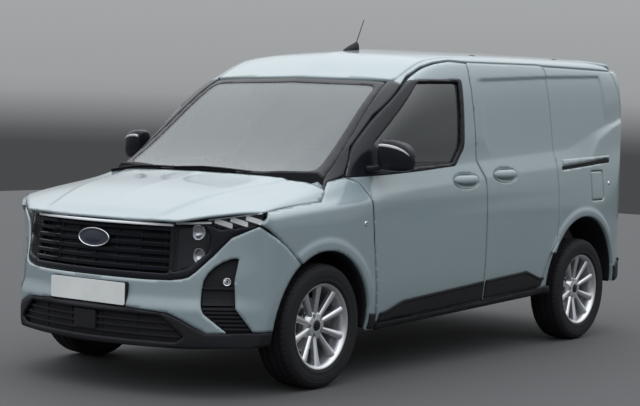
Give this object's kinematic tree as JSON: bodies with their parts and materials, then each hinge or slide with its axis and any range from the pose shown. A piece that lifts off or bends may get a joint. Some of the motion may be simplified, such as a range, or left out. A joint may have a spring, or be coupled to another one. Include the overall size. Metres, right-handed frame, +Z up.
{
  "type": "compact panel van",
  "caption": "Compact panel van with hinged cab doors, twin rear doors, lifting bonnet, steered front wheels and a closed load space behind a bulkhead.",
  "frame": {"origin": "on the ground, under the middle of the whole van", "axes": "+Z up, the front faces -Y, +X is the van's own left side"},
  "size_m": [2.04, 4.337, 1.9729],
  "materials": {
    "paint": "gloss",
    "black_gloss": "gloss",
    "black_plastic": "matte",
    "glass": "gloss",
    "lamp": "gloss",
    "red_lamp": "gloss",
    "tyre": "matte",
    "alloy": "satin",
    "steel": "matte",
    "floor": "satin",
    "seat_fabric": "matte",
    "trim": "matte",
    "plate": "gloss"
  },
  "bodies": {
    "root": {"floor_pan": "floor", "body_side_left": "paint", "body_side_right": "paint", "side_doors": "paint", "slide_rails": "black_plastic", "roof_panel": "paint", "windscreen": "glass", "front_wings": "paint", "front_bumper": "paint", "bumper_skirt": "black_plastic", "grille": "black_gloss", "lower_grille": "black_plastic", "headlamps": "lamp", "corner_vents": "black_plastic", "scuttle": "black_plastic", "wipers": "black_plastic", "rear_bumper": "black_plastic", "tail_lamps": "red_lamp", "bulkhead": "floor", "front_subframe": "steel", "engine_block": "steel", "radiator": "steel", "rear_axle": "steel", "exhaust": "steel", "fuel_tank": "black_plastic", "dashboard": "trim", "seats": "seat_fabric", "number_plates": "plate", "aerial": "black_gloss"},
    "bonnet": {"bonnet": "paint"},
    "fuel_flap": {"fuel_flap": "paint"},
    "steering_wheel": {"steering_wheel": "trim"},
    "front_door_left": {"front_door_left": "paint", "door_glass_left": "glass", "mirror_left": "black_gloss"},
    "rear_door_left": {"rear_door_left": "paint", "rear_glass_left": "glass"},
    "knuckle_left": {"knuckle_left": "steel"},
    "front_door_right": {"front_door_right": "paint", "door_glass_right": "glass", "mirror_right": "black_gloss"},
    "rear_door_right": {"rear_door_right": "paint", "rear_glass_right": "glass"},
    "knuckle_right": {"knuckle_right": "steel"},
    "wheel_front_left": {"wheel_front_left": "alloy", "tyre_front_left": "tyre"},
    "wheel_front_right": {"wheel_front_right": "alloy", "tyre_front_right": "tyre"},
    "wheel_rear_left": {"wheel_rear_left": "alloy", "tyre_rear_left": "tyre"},
    "wheel_rear_right": {"wheel_rear_right": "alloy", "tyre_rear_right": "tyre"}
  },
  "joints": [
    {"name": "steer", "type": "hinge", "parent": "root", "child": "knuckle_left", "pos_m": [0.685, -1.333, 0.321], "axis": [-0.23, 0, 0.9732], "range_deg": [-34, 34]},
    {"name": "steer_right", "type": "hinge", "parent": "root", "child": "knuckle_right", "pos_m": [-0.685, -1.333, 0.321], "axis": [0.23, 0, 0.9732], "range_deg": [-34, 34]},
    {"name": "steering_wheel_turn", "type": "hinge", "parent": "root", "child": "steering_wheel", "pos_m": [-0.37, -0.64, 0.99], "axis": [0, 0.8751, 0.484], "range_deg": [-493, 493]},
    {"name": "wheel_front_left_spin", "type": "hinge", "parent": "knuckle_left", "child": "wheel_front_left", "pos_m": [0.775, -1.333, 0.321], "axis": [1, 0, 0], "continuous": true},
    {"name": "wheel_front_right_spin", "type": "hinge", "parent": "knuckle_right", "child": "wheel_front_right", "pos_m": [-0.775, -1.333, 0.321], "axis": [1, 0, 0], "continuous": true},
    {"name": "wheel_rear_left_spin", "type": "hinge", "parent": "root", "child": "wheel_rear_left", "pos_m": [0.775, 1.359, 0.321], "axis": [1, 0, 0], "continuous": true},
    {"name": "wheel_rear_right_spin", "type": "hinge", "parent": "root", "child": "wheel_rear_right", "pos_m": [-0.775, 1.359, 0.321], "axis": [1, 0, 0], "continuous": true},
    {"name": "front_door_left_open", "type": "hinge", "parent": "root", "child": "front_door_left", "pos_m": [0.868, -0.835, 0.6], "axis": [0, 0, -1], "range_deg": [0, 65]},
    {"name": "rear_door_left_open", "type": "hinge", "parent": "root", "child": "rear_door_left", "pos_m": [0.724, 2.112, 0.9], "axis": [0, 0, -1], "range_deg": [0, 160]},
    {"name": "front_door_right_open", "type": "hinge", "parent": "root", "child": "front_door_right", "pos_m": [-0.868, -0.835, 0.6], "axis": [0, 0, 1], "range_deg": [0, 65]},
    {"name": "rear_door_right_open", "type": "hinge", "parent": "root", "child": "rear_door_right", "pos_m": [-0.724, 2.112, 0.9], "axis": [0, 0, 1], "range_deg": [0, 160]},
    {"name": "bonnet_open", "type": "hinge", "parent": "root", "child": "bonnet", "pos_m": [0, -1.39, 1.022], "axis": [-1, 0, 0], "range_deg": [0, 50]},
    {"name": "fuel_flap_open", "type": "hinge", "parent": "root", "child": "fuel_flap", "pos_m": [0.868, 1.474, 0.98], "axis": [0.1191, 0, -0.9929], "range_deg": [0, 80]}
  ],
  "couplings": [
    {"joint": "steer_right", "follows": "steer", "ratio": 1},
    {"joint": "steering_wheel_turn", "follows": "steer", "ratio": 14.5}
  ]
}
